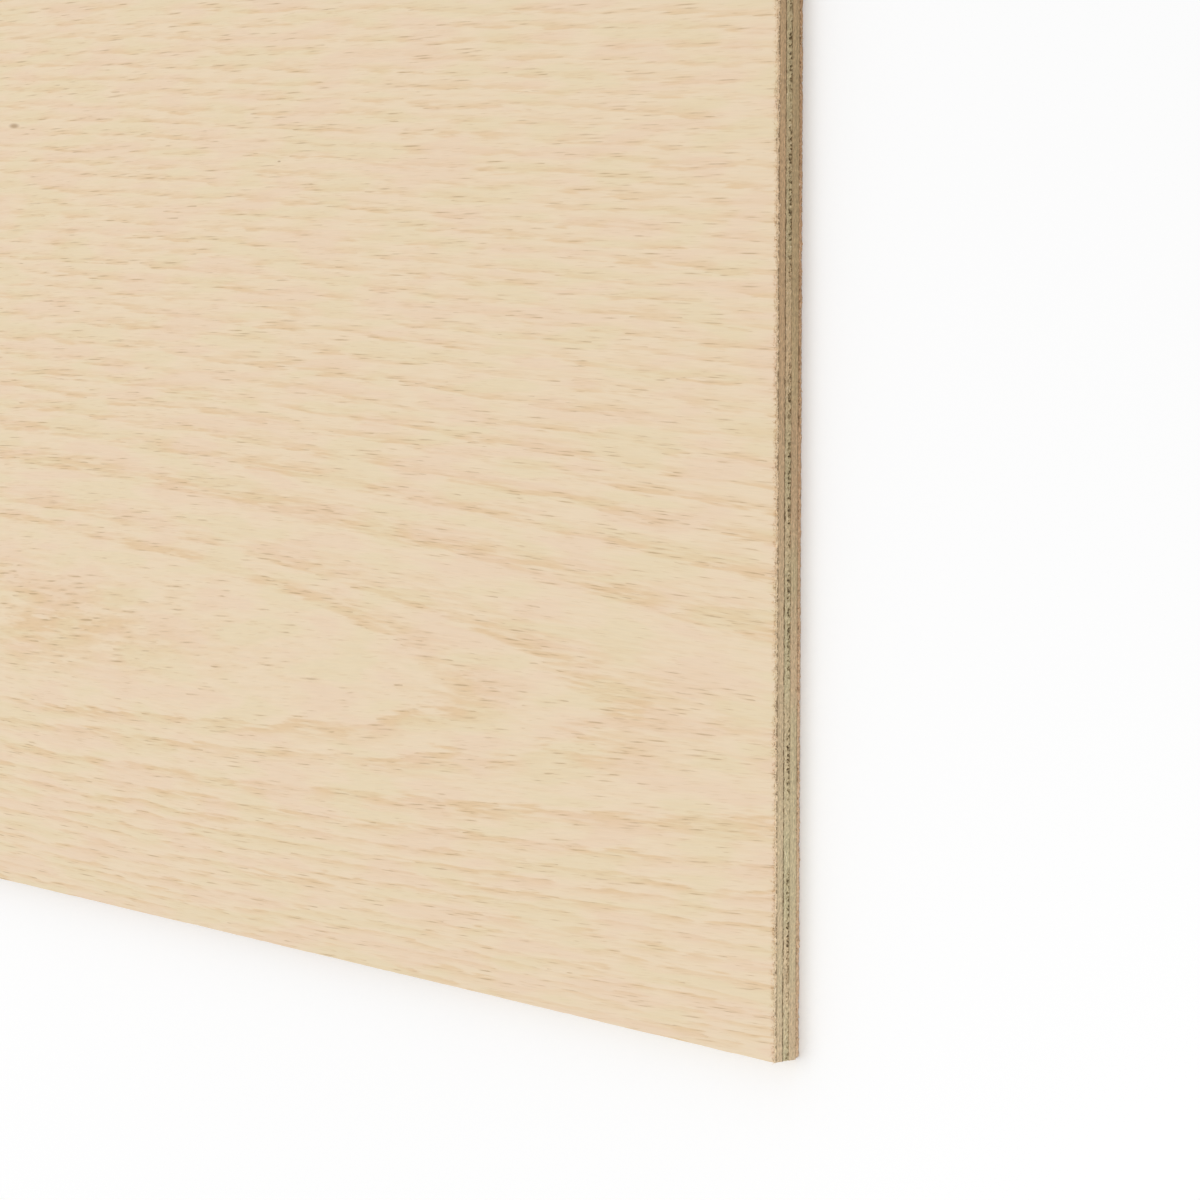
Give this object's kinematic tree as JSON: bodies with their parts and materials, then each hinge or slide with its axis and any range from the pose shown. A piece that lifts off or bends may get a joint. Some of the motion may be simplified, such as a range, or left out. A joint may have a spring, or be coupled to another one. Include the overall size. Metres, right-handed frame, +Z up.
{
  "type": "plywood sheet",
  "caption": "Thin rectangular hardwood plywood panel with an oak face veneer, crossed inner plies and square sawn edges; it lies flat with the oak face up.",
  "frame": {"origin": "middle of the underside, on the surface that the sheet lies on", "axes": "+X along the face grain and the long side, +Y across the grain, +Z up through the thickness, out of the oak face"},
  "size_m": [1.2192, 0.6096, 0.0052],
  "materials": {
    "oak_face": "sanded, bare",
    "crossband": "sawn edge, bare",
    "core": "sawn edge, bare",
    "back_face": "sanded, bare"
  },
  "bodies": {
    "root": {"face_veneer": "oak_face", "face_crossband": "crossband", "core_ply": "core", "back_crossband": "crossband", "back_veneer": "back_face"}
  },
  "joints": []
}
